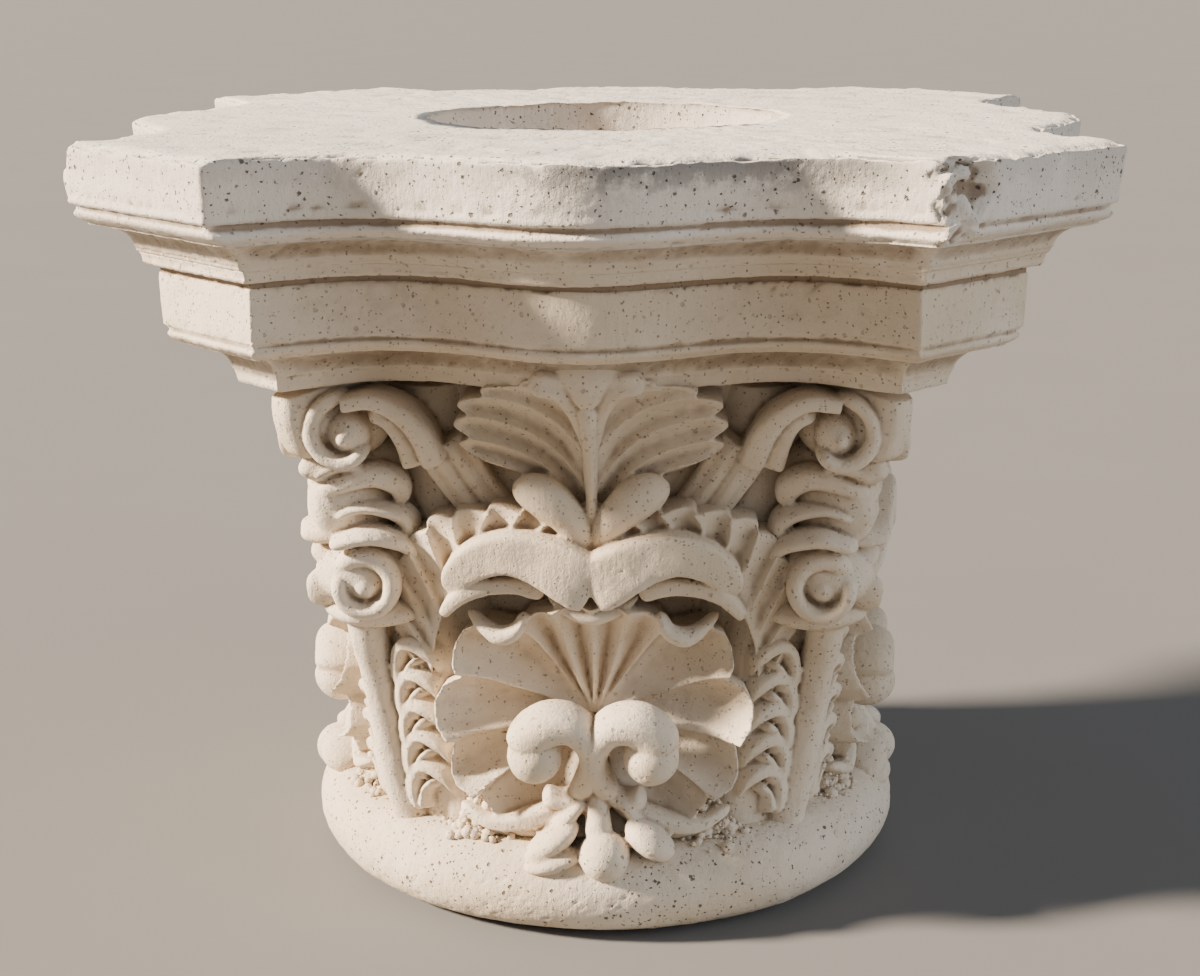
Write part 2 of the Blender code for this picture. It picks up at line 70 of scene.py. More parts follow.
def stoneNoise(points, size, seed):
    # Seeded random values on a lattice, eased between the eight corners of each cell: -1 to 1
    table = np.random.default_rng(seed).random(4096) * 2 - 1
    place = points / size + 517.3
    cell = np.floor(place).astype(np.int64)
    part = place - cell
    part = part * part * (3 - 2 * part)
    total = np.zeros(len(points))
    for corner in np.ndindex(2, 2, 2):
        key = (cell[:, 0] + corner[0]) * 73856093 ^ (cell[:, 1] + corner[1]) * 19349663
        key = (key ^ (cell[:, 2] + corner[2]) * 83492791) & 4095
        share = np.prod(np.where(corner, part, 1 - part), axis=1)
        total += share * table[key]
    return total


def stonePits(points, spacing, radius, share, seed):
    # Bowl-shaped holes, one in some of the cells of a lattice: 0 outside, 1 at a pit's middle
    random = np.random.default_rng(seed).random((4096, 4))
    base = np.floor(points / spacing + 517.3).astype(np.int64)
    deepest = np.zeros(len(points))
    for step in np.ndindex(3, 3, 3):
        cell = base + np.array(step) - 1
        key = (cell[:, 0] * 73856093 ^ cell[:, 1] * 19349663 ^ cell[:, 2] * 83492791) & 4095
        middle = (cell + random[key, :3] - 517.3) * spacing
        size = radius * (0.5 + random[key, 3] / share)
        away = np.linalg.norm(points - middle, axis=1) / size
        there = random[key, 3] < share
        deepest = np.maximum(deepest, np.where(there, np.clip(1 - away * away, 0, 1), 0))
    return deepest


def vertexNormals(points, quads):
    # Each face's normal is the cross product of its diagonals, gathered at its corners
    facing = np.cross(points[quads[:, 2]] - points[quads[:, 0]], points[quads[:, 3]] - points[quads[:, 1]])
    total = np.zeros_like(points)
    for axis in range(3):
        for corner in range(4):
            total[:, axis] += np.bincount(quads[:, corner], facing[:, axis], len(points))
    return total / np.maximum(np.linalg.norm(total, axis=1), 1e-12)[:, None]


def easedPoints(points, quads, rounds):
    # Every round moves each point to the mean of its neighbours along the faces' edges
    ends = np.concatenate([quads[:, [0, 1]], quads[:, [1, 2]], quads[:, [2, 3]], quads[:, [3, 0]]])
    count = np.maximum(np.bincount(ends[:, 0], minlength=len(points)), 1)
    for _ in range(rounds):
        points = np.stack([np.bincount(ends[:, 0], points[ends[:, 1], axis], len(points)) / count
                           for axis in range(3)], axis=1)
    return points


def meshObject(name, points, faces, hollow=None):
    # A mesh from arrays of points and of equal-sided faces, with how deep in a hollow each point is
    mesh = bpy.data.meshes.new(name)
    mesh.vertices.add(len(points))
    mesh.vertices.foreach_set("co", np.ascontiguousarray(points, np.float32).ravel())
    mesh.loops.add(faces.size)
    mesh.loops.foreach_set("vertex_index", np.ascontiguousarray(faces, np.int32).ravel())
    mesh.polygons.add(len(faces))
    mesh.polygons.foreach_set("loop_start", np.arange(0, faces.size, faces.shape[1], dtype=np.int32))
    if hollow is not None:
        layer = mesh.attributes.new("hollow", "FLOAT", "POINT")
        layer.data.foreach_set("value", np.ascontiguousarray(hollow, np.float32))
    mesh.update(calc_edges=True)
    mesh.validate()
    mesh.shade_smooth()
    thing = bpy.data.objects.new(name, mesh)
    bpy.context.collection.objects.link(thing)
    return thing


def afterModifiers(thing):
    # The mesh as its modifiers leave it, kept as the object's own, so that nothing stays live
    view = bpy.context.evaluated_depsgraph_get()
    mesh = bpy.data.meshes.new_from_object(thing.evaluated_get(view))
    thing.modifiers.clear()
    thing.data = mesh
    return mesh


def stonePiece(thing, material):
    thing.data.materials.clear()
    thing.data.materials.append(material)
    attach(thing, "root")
    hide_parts("capital")
    print("made", thing.name, len(thing.data.polygons), "faces")


# Shapes of the carving: each is a grid of loops, closed round and at both ends

def ringQuads(count, sides):
    # Four-sided faces between each ring of points and the next
    ring, place = np.meshgrid(np.arange(count - 1), np.arange(sides), indexing="ij")
    here, beside = ring * sides + place, ring * sides + (place + 1) % sides
    return np.stack([here, beside, beside + sides, here + sides], axis=-1).reshape(-1, 4)


def skin(loops):
    # Loops are joined ring to ring, and each end is drawn together to its own middle
    first, last = loops[:1].mean(axis=1, keepdims=True), loops[-1:].mean(axis=1, keepdims=True)
    sides = loops.shape[1]
    loops = np.concatenate([np.repeat(first, sides, 1), loops, np.repeat(last, sides, 1)])
    return loops.reshape(-1, 3), ringQuads(len(loops), sides)


def smoothRows(rows, count):
    # A Catmull-Rom curve through a few rows of numbers
    rows = np.asarray(rows, float)
    ends = np.vstack([2 * rows[0] - rows[1], rows, 2 * rows[-1] - rows[-2]])
    along = np.linspace(0, len(rows) - 1, count)
    index = np.minimum(along.astype(int), len(rows) - 2)
    t = (along - index)[:, None]
    a, b, c, d = ends[index], ends[index + 1], ends[index + 2], ends[index + 3]
    return 0.5 * (2 * b + (c - a) * t + (2 * a - 5 * b + 4 * c - d) * t ** 2
                  + (3 * b - a - 3 * c + d) * t ** 3)


def limb(rows, steps=30, sides=28, flat=1.0, groove=0.0, flutes=0, ends=(0.12, 0.12), lean=(0, 1, 0)):
    # A section carried along a path. Rows are (across, up, out, half width, half depth). flat below 1
    # squares the section, groove sinks one channel down its front or, with flutes, several side by
    # side, ends is the share of the length that each dome takes, and lean is where the depth points
    path = smoothRows(rows, steps)
    middle = path[:, [0, 2, 1]]
    along = np.gradient(middle, axis=0)
    along /= np.linalg.norm(along, axis=1)[:, None]
    across = np.cross(along, np.asarray(lean, float))
    across /= np.linalg.norm(across, axis=1)[:, None]
    outward = np.cross(across, along)
    share = np.linspace(0, 1, steps)
    dome = np.ones(steps)
    for reach, near in zip(ends, (share, 1 - share)):
        if reach > 0:
            dome *= np.sqrt(1 - (1 - np.clip(0.04 + near / reach, 0, 1)) ** 2)
    angle = 2 * math.pi * np.arange(sides) / sides
    c = np.sign(np.cos(angle)) * np.abs(np.cos(angle)) ** flat
    s = np.sign(np.sin(angle)) * np.abs(np.sin(angle)) ** flat
    if flutes:
        sink = groove * np.maximum(s, 0) * (0.5 - 0.5 * np.cos(flutes * math.pi * (c + 1)))
    else:
        sink = groove * np.maximum(s, 0) * np.cos(c * math.pi / 2) ** 2
    wide = (path[:, 3] * dome)[:, None, None] * c[None, :, None]
    deep = ((path[:, 4] * dome)[:, None] * s[None, :] - sink[None, :] * dome[:, None])[:, :, None]
    return skin(middle[:, None] + across[:, None] * wide + outward[:, None] * deep)


def lump(middle, radii, turn=0.0, rings=16, sides=28):
    # An egg at (across, up, out) with radii in the same order, turned in the front plane
    polar = math.pi * np.arange(1, rings)[:, None] / rings
    angle = -2 * math.pi * np.arange(sides)[None, :] / sides
    a = radii[0] * np.sin(polar) * np.cos(angle)
    b = radii[1] * np.sin(polar) * np.sin(angle)
    out = middle[2] - radii[2] * np.cos(polar) * np.ones_like(angle)
    x = middle[0] + a * math.cos(turn) - b * math.sin(turn)
    z = middle[1] + a * math.sin(turn) + b * math.cos(turn)
    return skin(np.stack([x, out, z], axis=-1))


def spiralRows(middle, start, turns, radii, depth, halfWidth, halfDepth, count=24):
    # Rows for a limb that winds inwards round middle, from the first radius to the second
    share = np.linspace(0, 1, count)
    angle = math.radians(start) + share * turns * 2 * math.pi
    radius = np.interp(share, (0, 1), radii)
    return np.stack([middle[0] + radius * np.cos(angle), middle[1] + radius * np.sin(angle),
                     np.interp(share, (0, 1), depth), np.interp(share, (0, 1), halfWidth),
                     np.interp(share, (0, 1), halfDepth)], axis=1)


def mirrored(shape):
    points, quads = shape
    return points * (-1, 1, 1), quads[:, ::-1]


def bothFaces(shape):
    # The shape on the front of the left corner, and its reflection in the corner's diagonal
    points, quads = shape
    return [shape, (np.stack([-points[:, 1], -points[:, 0], points[:, 2]], axis=1), quads[:, ::-1])]


def onCorner(shape):
    # Turned by an eighth, so that its outward side faces the front left corner
    points, quads = shape
    half = math.sqrt(0.5)
    x, y = points[:, 0], points[:, 1]
    return np.stack([(x - y) * half, (x + y) * half, points[:, 2]], axis=1), quads


def joined(shapes):
    starts = np.cumsum([0] + [len(points) for points, _ in shapes[:-1]])
    return (np.concatenate([points for points, _ in shapes]),
            np.concatenate([quads + start for (_, quads), start in zip(shapes, starts)]))


def bellRadius(z):
    # The bell is narrowest low down and flares out under the top slab
    share = np.clip((z - design["ringTop"]) / (design["bellTop"] - design["ringTop"]), 0, 1)
    return design["bellFoot"] + design["bellSpread"] * share + design["bellFlare"] * share ** 3


def bellSector(halfAngle):
    # A slice of the bell, from well inside it to its face
    z = np.linspace(design["bellFrom"], design["bellTo"], 24)[:, None]
    angle = np.radians(np.linspace(-halfAngle, halfAngle, 30))[None, :]
    radius, core = bellRadius(z), design["bellCore"] + 0 * z
    turned = angle[:, ::-1]
    face = np.stack([radius * np.sin(angle), radius * np.cos(angle), z + 0 * angle], axis=-1)
    back = np.stack([core * np.sin(turned), core * np.cos(turned), z + 0 * angle], axis=-1)
    return skin(np.concatenate([face, back], axis=1))


# Shell leaf, drawn round its root: the rim's reach at each angle from straight up, the angles of the
# creases between its side lobes, and how far the faces stand out
shell = {
    "root": (0.0, 134.0), "fluteAngle": 16.5, "fluteDepth": 5.5, "lobeDepth": 6.5, "dish": 7.0,
    "rimLift": 9.0, "middle": 150, "cup": 15, "topLift": 9, "backAt": 110, "backShare": 0.94,
    "rim": ((0, 80), (30, 82), (37, 78), (42, 84), (47, 94), (53, 100), (59, 99), (65, 95), (69.7, 86),
            (76, 96), (83, 99.5), (91, 97), (98.4, 88), (105, 92), (111, 96), (116, 95), (124, 86),
            (133, 88), (142, 86), (155, 78), (178, 72)),
    "creases": (36.0, 69.7, 98.4, 124.0, 165.0),
}


def shellLeaf():
    # The face is cupped towards its rim. Flutes fan up from the root, and each side lobe starts deep
    # under the crease above it, swells out down to its own lower edge, and drops behind the next
    angle = np.linspace(-178, 178, 357)[:, None]
    side = np.abs(angle)
    rim = np.interp(side, *np.array(shell["rim"], float).T)
    share = np.linspace(0.02, 1, 60)[None, :]
    reach = share * rim
    ripple = 1 - 2 * np.abs(np.sin(math.pi * side / (1 + 0.3 * (1 - share)) / shell["fluteAngle"])) ** 1.5
    top = np.clip((reach * np.cos(np.radians(angle)) - 45) / 35, 0, 1)
    depth = shell["middle"] + shell["cup"] * share ** 2.2 + shell["topLift"] * top ** 2
    depth = depth + shell["rimLift"] * np.clip((share - 0.7) / 0.3, 0, 1) ** 2
    grown = np.clip((reach - 12) / 45, 0, 1)
    upper = np.clip((shell["creases"][0] - side) / 3, 0, 1)
    depth = depth + shell["fluteDepth"] * ripple * upper * np.clip(reach / 30, 0, 1)
    for start, stop in zip(shell["creases"][:-1], shell["creases"][1:]):
        t = np.clip((side - start) / (stop - start), 0, 1)
        inside = (side >= start) & (side < stop)
        swell = np.where(t < 0.92, 2 * (t / 0.92) ** 1.2 - 1, 1 - 2 * (t - 0.92) / 0.08)
        lobe = shell["lobeDepth"] * swell - shell["dish"] * np.sin(math.pi * t)
        depth = depth + np.where(inside, lobe, 0) * grown
    x = shell["root"][0] + reach * np.sin(np.radians(angle))
    z = shell["root"][1] + reach * np.cos(np.radians(angle))
    face = np.stack([x, depth, z], axis=-1)
    drawnIn = shell["root"][1] + (z - shell["root"][1]) * shell["backShare"]
    back = np.stack([x * shell["backShare"], 0 * x + shell["backAt"], drawnIn], axis=-1)
    return skin(np.concatenate([face, back[:, ::-1]], axis=1))


def shellShapes():
    curl = limb([(-74, 204, 158, 3, 8), (-67, 198, 166, 4, 9), (-56, 193, 172, 6, 9),
                 (-46, 197, 173, 5, 9), (-41, 207, 168, 3, 8)], steps=40)
    foot = limb([(-84, 60, 140, 4, 10), (-58, 61, 150, 7, 13), (0, 60, 153, 6, 14), (58, 61, 150, 7, 13),
                 (84, 60, 140, 4, 10)], steps=40, ends=(0.05, 0.05))
    return [shellLeaf(), foot, curl, mirrored(curl)]


def flutedLeaf(inner, bend, outer, flutes, sweep, depth, tips, backAt=112, steps=260):
    # A sheet between two curves of (across, up, out) rows, drawn towards a third one in between. Its
    # flutes sweep along it as they cross it, with sharp ridges between, and each ends in a lobe of
    # the outer edge. Its back is buried
    s, t = np.linspace(0, 1, steps)[:, None], np.linspace(0, 1, 32)[None, :]
    near, pull, far = (smoothRows(rows, steps)[:, None, :] for rows in (inner, bend, outer))
    scoop = np.abs(np.sin(math.pi * flutes * (s - sweep * t))) ** 0.8
    length = np.linalg.norm((far - near)[..., :2], axis=2)
    reach = (t * (1 + tips * scoop * t ** 2 / length))[..., None]
    face = near * (1 - reach) ** 2 + 2 * pull * reach * (1 - reach) + far * reach ** 2
    face[..., 2] += 4 * t ** 3 - depth * scoop * np.clip(3 * t, 0, 1)
    back = face[:, ::-1].copy()
    back[..., 2] = backAt
    loops = np.concatenate([face, back], axis=1)[..., [0, 2, 1]]
    return skin(loops)


def armShapes():
    # One arching leaf stem: a fluted leaf that climbs from the foot and turns over to the middle, a
    # broad flat rib with a pointed tail and a blunt end on it, and a ledge under the rib
    return [
        limb([(-86, 221, 166, 3, 12), (-80, 234, 172, 9, 14), (-67, 244, 175, 12, 15),
              (-50, 248.5, 177, 13, 16), (-34, 245.5, 178, 14.5, 16), (-20, 240, 179, 16.5, 17),
              (-8, 233, 179, 17.5, 17), (-1.5, 229, 177, 15.5, 16)], steps=70, sides=48, flat=0.25,
             ends=(0.15, 0.015)),
        limb([(-90, 207, 160, 3, 14), (-82, 217, 166, 5, 16), (-74, 222.5, 168, 5.5, 17),
              (-60, 226, 168, 5.5, 17), (-45, 226.5, 168, 5.5, 17), (-29, 221, 165, 5, 17)], steps=50,
             flat=0.4, ends=(0.1, 0.08)),
        flutedLeaf([(-101, 146, 150), (-99, 176, 158), (-92, 203, 165), (-80, 232, 172), (-62, 250, 176),
                    (-40, 255, 178), (-18, 249, 179), (-4, 240, 178)],
                   [(-107, 147, 150), (-108, 178, 158), (-106, 208, 166), (-97, 240, 173), (-76, 260, 178),
                    (-46, 264, 180), (-20, 260, 180), (-6, 248, 179)],
                   [(-113, 146, 141), (-118, 178, 149), (-117, 210, 157), (-110, 242, 166), (-90, 264, 173),
                    (-58, 270, 177), (-28, 268, 178), (-6, 256, 178)], 11, 0.16, 6.0, 8.0),
    ]


def tongueShapes():
    # The crescent under the meeting ends of the two arms
    return [limb([(-27, 217, 160, 2, 10), (-14, 209, 166, 5, 13), (0, 206, 168, 6, 14),
                  (14, 209, 166, 5, 13), (27, 217, 160, 2, 10)], steps=24)]


def scrollShapes():
    # A curled scroll in front of the shell leaf: a broad band that winds over onto a ball
    return [
        limb([(-15, 84, 160, 6, 12), (-5, 97, 166, 8, 15), (0, 112, 171, 8.5, 17), (-3, 127, 175, 9.5, 18),
              (-13, 137.5, 177, 11, 19), (-27, 138.5, 178, 13, 19), (-38, 130, 178, 14, 18),
              (-42, 121, 178, 12, 17)], steps=70, sides=36, flat=0.85, ends=(0.15, 0.1)),
        lump((-35.5, 118, 178), (17, 18, 19), rings=24, sides=40),
        limb([(-2, 92, 160, 5, 12), (-18, 84, 165, 6, 12), (-32, 88, 168, 7, 10)], steps=16),
        limb([(-10, 82, 156, 5, 12), (-34, 72, 163, 7, 12), (-62, 66, 160, 5, 11), (-84, 74, 150, 3, 9)],
             steps=30, groove=3),
    ]


def flowerShapes():
    # The flower that hangs over the foot ring: stalk, bud and petals
    return [
        limb([(2, 106, 160, 4, 8), (2, 84, 169, 7, 10), (4, 62, 182, 9, 11)], steps=20),
        lump((7, 55, 186), (16, 16, 17)),
        lump((-26, 61, 179), (20, 8, 15), turn=0.6),
        lump((-25, 50, 183), (19, 7, 14), turn=0.25),
        lump((35, 63, 179), (18, 10, 16), turn=-0.6),
        lump((-16, 76, 168), (17, 6, 15), turn=0.75),
        lump((24, 78, 166), (17, 6, 14), turn=-0.9),
    ]


def palmetteShapes():
    # Half of the palmette: one broad leaf whose flutes leave the stem steeply and arch outwards, the
    # lobes at its top that come forward, and the plain leaf under it
    return [
        flutedLeaf([(-1, 250, 165), (-1, 264, 168), (-1, 281, 173), (-1, 308, 186), (-1, 336, 203)],
                   [(-16, 290, 170), (-17, 308, 175), (-16, 328, 183), (-12, 344, 196), (-7, 355, 211)],
                   [(-66, 303, 172), (-69, 318, 178), (-68, 335, 184), (-52, 349, 198), (-24, 358, 214)],
                   4.5, 0.0, 6.5, 9.0),
        limb([(0, 318, 182, 6, 12), (-5, 340, 200, 8, 13), (-16, 355, 212, 8, 12), (-33, 358, 215, 8, 10)],
             steps=30, groove=4, ends=(0, 0.15)),
        limb([(-2, 249, 167, 8, 10), (-13, 267, 174, 11, 12), (-28, 281, 176, 13, 13),
              (-46, 287, 170, 9, 11)], steps=30, ends=(0, 0.2)),
    ]


def palmetteMiddle():
    # The narrow upright rib of the palmette, and the tip that curls forward over the slab's edge
    return [
        limb([(0, 252, 164, 4, 10), (0, 290, 174, 4, 12), (0, 325, 192, 5, 14), (0, 350, 208, 7, 14)],
             steps=30, flat=0.8, ends=(0, 0.1)),
        limb([(0, 372, 200, 24, 12), (0, 362, 209, 22, 14), (0, 352, 211, 11, 11), (0, 346, 208, 4, 8)],
             steps=24, flat=0.8, ends=(0.1, 0.1)),
    ]


def voluteShapes():
    # A volute, the two-stepped band that feeds it, and the fluted stem below its collar
    return [
        limb([(-54, 252, 136, 16, 14), (-72, 277, 146, 16, 14), (-86, 301, 153, 17, 14),
              (-91, 309, 154, 15, 13)], steps=24, sides=60, flat=0.6, groove=3, flutes=3, ends=(0, 0)),
        limb([(-95, 302, 156, 8, 18), (-102, 319, 163, 7.5, 19), (-113, 333, 169, 6.5, 20),
              (-128, 340, 171, 5.5, 19), (-146, 338, 171, 5, 18)], steps=40, flat=0.45, ends=(0.02, 0)),
        limb([(-108, 299, 155, 7, 14), (-113, 315, 161, 6, 15), (-121, 327, 166, 5, 16),
              (-132, 332, 168, 4, 15)], steps=30, flat=0.5, ends=(0.03, 0.1)),
        limb(spiralRows((-145, 318.5), 88, 0.66, (24, 13.5), (170, 172), (5, 4.5), (18, 17)), steps=70,
             flat=0.6),
        lump((-148, 320, 146), (20, 21, 24)),
        lump((-144.5, 318, 164), (13, 14, 21)),
        lump((-146, 317, 172), (6.5, 6.5, 17)),
    ]


def curledLeafShapes():
    # The curled leaf under a volute on the corner's front face: a scroll with arched folds over it
    return [
        limb(spiralRows((-139, 222), 150, -1.0, (18.5, 15), (159, 163), (6, 5), (15, 14)), steps=60,
             flat=0.8),
        lump((-139, 222, 145), (20, 20, 20)),
        lump((-139, 221, 158), (9, 9, 16)),
        limb([(-108, 240, 148, 5, 13), (-118, 249, 157, 6, 15), (-137, 254, 164, 6, 17),
              (-159, 248, 163, 5, 15)], steps=30),
        limb([(-110, 250, 144, 7, 13), (-115, 262, 150, 7, 15), (-126, 268, 155, 5, 15),
              (-142, 270, 158, 4, 15), (-158, 264, 160, 4, 14)], steps=30),
        limb([(-115, 272, 146, 5, 12), (-119, 284, 152, 8, 15), (-132, 290, 158, 8, 16),
              (-150, 286, 162, 6, 15), (-166, 280, 162, 5, 12)], steps=30, groove=3),
        limb([(-140, 296, 158, 4, 12), (-153, 297, 163, 5, 13), (-168, 291, 165, 5, 12)], steps=20),
    ]


def cornerShapes():
    # What stands on the corner's diagonal, drawn as (across, up, out from the axis)
    shapes = [
        limb([(0, 349, 224, 13, 37), (0, 330, 220, 14, 39), (0, 308, 212, 14, 34)], steps=20, flat=0.6,
             ends=(0, 0.3)),
        lump((0, 296, 220), (13, 11, 26)),
        lump((0, 274, 196), (20, 34, 42)),
        lump((0, 226, 194), (30, 24, 38)),
        lump((0, 201, 192), (34, 11, 33)),
        limb([(0, 205, 203, 14, 12), (0, 182, 200, 11, 12), (0, 160, 194, 10, 12), (0, 138, 189, 10, 12),
              (0, 97, 181, 12, 13), (0, 50, 167, 14, 14)], steps=30, ends=(0, 0)),
        limb([(0, 345, 130, 46, 52), (0, 280, 126, 44, 50), (0, 200, 120, 44, 50), (0, 60, 118, 44, 50)],
             steps=20, flat=0.5, ends=(0, 0)),
        limb([(0, 200, 150, 40, 36), (0, 160, 148, 44, 34), (0, 110, 142, 45, 34), (0, 54, 132, 46, 36)],
             steps=20, flat=0.6, ends=(0, 0)),
    ]
    return [onCorner(shape) for shape in shapes]


def stalkLeaflets():
    # Hooked leaflets up both sides of a corner stalk, drawn across the corner
    shapes = []
    for step in range(5):
        z = 82 + 21 * step
        out = 176 + 2.5 * step
        hook = limb([(15, z - 20, out - 2, 3, 10), (15, z - 2, out, 4, 11), (19, z + 10, out, 4, 11),
                     (28, z + 14, out - 2, 5, 11), (37, z + 8, out - 7, 4.5, 10),
                     (38, z - 4, out - 12, 3, 8)], steps=40, groove=3.5, ends=(0.12, 0.3))
        inner = limb([(20, z - 18, out - 4, 3, 8), (23, z - 4, out - 4, 3, 9), (30, z + 4, out - 5, 3, 9)],
                     steps=20)
        shapes += [onCorner(hook), onCorner(mirrored(hook)), onCorner(inner), onCorner(mirrored(inner))]
    return shapes


carving = {
    "grain": 0.00115,   # size of the cells that fuse the shapes
    "sideFaces": 100000, "cornerFaces": 56000,   # triangles left in each side and corner
    "unevenness": 0.0005, "unevenSize": 0.024,   # metres, as all sizes here
    "toolMarks": 0.00022, "markSize": 0.006, "fineMarkSize": 0.0028, "fineShare": 0.6,
    "pitDepth": 0.0011, "pits": (0.008, 0.0009, 0.3, 11),
    "hiddenWithin": 0.126, "fadeOver": 0.008,    # no weathering inside this radius
    "hollowRounds": 14,                          # how far round each point its hollow is measured
}


def carvedSkin(shapes):
    # All shapes fused to one skin on a fine lattice, then eased: points and faces as arrays
    points, quads = joined(shapes)
    rough = meshObject("rough", inFrame(points), quads)
    fuse = rough.modifiers.new("fuse", "REMESH")
    fuse.mode = "VOXEL"
    fuse.voxel_size = carving["grain"]
    ease = rough.modifiers.new("ease", "SMOOTH")
    ease.factor = 0.5
    ease.iterations = 2
    mesh = afterModifiers(rough)
    found = np.empty(len(mesh.vertices) * 3, np.float32)
    mesh.vertices.foreach_get("co", found)
    corners = np.empty(len(mesh.loops), np.int32)
    mesh.loops.foreach_get("vertex_index", corners)
    bpy.data.objects.remove(rough)
    return found.reshape(-1, 3).astype(float), corners.reshape(-1, 4)


def turnedQuarter(points, quarter):
    # A rotation about the upright axis by whole quarters, with a cosine and sine of 0 or 1
    c, s = round(math.cos(quarter * math.pi / 2)), round(math.sin(quarter * math.pi / 2))
    return np.stack([c * points[:, 0] - s * points[:, 1], s * points[:, 0] + c * points[:, 1],
                     points[:, 2]], axis=1)


def carvedPiece(name, fused, quarter, faces, material):
    # The fused skin turned to its quarter, weathered where it shows, and thinned where it is flat
    points, quads = turnedQuarter(fused[0], quarter), fused[1]
    normals = vertexNormals(points, quads)
    radius = np.linalg.norm(points[:, :2], axis=1)
    shows = np.clip((radius - carving["hiddenWithin"]) / carving["fadeOver"], 0, 1)
    marks = stoneNoise(points, carving["markSize"], 5)
    marks += carving["fineShare"] * stoneNoise(points, carving["fineMarkSize"], 7)
    sink = carving["unevenness"] * stoneNoise(points, carving["unevenSize"], 3)
    sink = sink + carving["toolMarks"] * marks
    sink -= carving["pitDepth"] * stonePits(points, *carving["pits"])
    points = points + normals * (sink * shows)[:, None]
    eased = easedPoints(points, quads, carving["hollowRounds"])
    hollow = np.einsum("ij,ij->i", eased - points, normals) * 1000
    thing = meshObject(name, points, quads, hollow)
    thin = thing.modifiers.new("thin", "DECIMATE")
    thin.ratio = min(1.0, faces / (2 * len(quads)))
    afterModifiers(thing).shade_smooth()
    stonePiece(thing, material)


# Both slabs, in drawn millimetres. A level of one is half the length of a side between its cut
# corners, how far it reaches out, and its height
slab = {
    "sidePoints": 150, "cornerPoints": 56,
    "dip": 34.0, "bulge": 7.0, "bulgeShare": 0.62,
    "holeRadius": 113.7, "holeDepth": 60.0,
    "crumble": 6.5, "crumbSize": 9, "fineCrumbSize": 3.6, "fineCrumbs": 0.9, "leastCrumble": 0.35,
    "wearWidth": 3.2, "rollBulge": 0.45, "hollowRounds": 10,
    "topFrom": 486, "topFade": 4, "topWaves": ((17, 0.9, 71), (6, 0.6, 72)),
    "rubbleSize": 9, "fineRubbleSize": 4, "fineRubble": 0.6,
    "wear": {"rubbed": 0.5, "swell": (30, 0.5, 21), "waves": ((7, 0.22, 22), (2.8, 0.22, 23)),
             "pitDepth": 1.0, "pits": (6, 1.1, 0.35, 24)},
}


def wave(points, size, depth, seed):
    return depth * (1 + stoneNoise(points, size, seed))


def weathered(points, wear):
    # How far a face moves outwards: it is rubbed back all over, with a broad swell and two finer waves
    # as (size, depth, seed), and pits as (spacing, radius, share, seed)
    size, depth, seed = wear["swell"]
    moved = -wear["rubbed"] - depth * stoneNoise(points, size, seed)
    coarse, fine = (wave(points, *row) for row in wear["waves"])
    return moved - coarse - (fine + wear["pitDepth"] * stonePits(points, *wear["pits"]))


def sideDepth(x, half, reach):
    # A bowed side stands furthest out in its middle, dips on each side of it and meets the corners
    low = reach - slab["dip"]
    turn = slab["bulgeShare"] * half
    x = np.abs(x)
    inner = low + (reach + slab["bulge"] - low) * (1 + np.cos(np.pi * x / turn)) / 2
    outer = low + (reach - low) * (1 - np.cos(np.pi / 2 * np.clip((x - turn) / (half - turn), 0, 1)))
    return np.where(x <= turn, inner, outer)


def slabLoop(half, reach):
    # One level's outline: a bowed side and a straight cut corner, turned four times
    x = np.linspace(-half, half, slab["sidePoints"] + 1)
    side = np.stack([x, -sideDepth(x, half, reach)], axis=1)
    t = np.linspace(0, 1, slab["cornerPoints"] + 1)[1:-1, None]
    cut = (1 - t) * np.array([[half, -reach]]) + t * np.array([[reach, -half]])
    quarter = np.concatenate([side, cut])
    loop = np.concatenate([quarter @ np.array([[c, s], [-s, c]])
                           for c, s in ((1, 0), (0, 1), (-1, 0), (0, -1))])
    return (np.roll(loop, 1, 0) + 2 * loop + np.roll(loop, -1, 0)) / 4


def arcRows(first, last, count, hollowOut):
    # Levels from first to last (half, reach, up) along a quarter round: hollow, or else a full roll
    first, last = np.asarray(first, float), np.asarray(last, float)
    t = np.linspace(0, math.pi / 2, count)[:, None]
    if hollowOut:
        share, rise = 1 - np.cos(t), np.sin(t)
        rows = first + (last - first) * share
        rows[:, 2:] = first[2] + (last[2] - first[2]) * rise
        return rows
    bow = np.sin(2 * t)
    rows = first + (last - first) * t / (math.pi / 2)
    rows[:, 1:2] += bow * (last[2] - first[2]) * slab["rollBulge"]
    return rows


def straightRows(first, last, count):
    # Levels in equal steps from first to last
    return np.linspace(first, last, count)


def closedGrid(rows):
    # Rows of points joined ring to ring, with one point closing each end
    count, sides = rows.shape[:2]
    points = np.concatenate([rows.reshape(-1, 3), rows[:1].mean(axis=1), rows[-1:].mean(axis=1)])
    edge = np.arange(sides)
    after = (edge + 1) % sides
    top = (count - 1) * sides
    under = np.stack([after, edge, np.full(sides, count * sides)], axis=1)
    over = np.stack([top + edge, top + after, np.full(sides, count * sides + 1)], axis=1)
    return points, ringQuads(count, sides), np.concatenate([under, over])


def gridPiece(name, points, quads, fans, normals, rounds, material):
    # A point lies as deep in a hollow as its eased surroundings stand in front of it. Every quad is
    # cut in two, to go with the fan of triangles at each end
    hollow = np.einsum("ij,ij->i", easedPoints(points, quads, rounds) - points, normals)
    cut = np.concatenate([quads[:, [0, 1, 2]], quads[:, [0, 2, 3]], fans])
    stonePiece(meshObject(name, inMetres(points), cut, hollow), material)


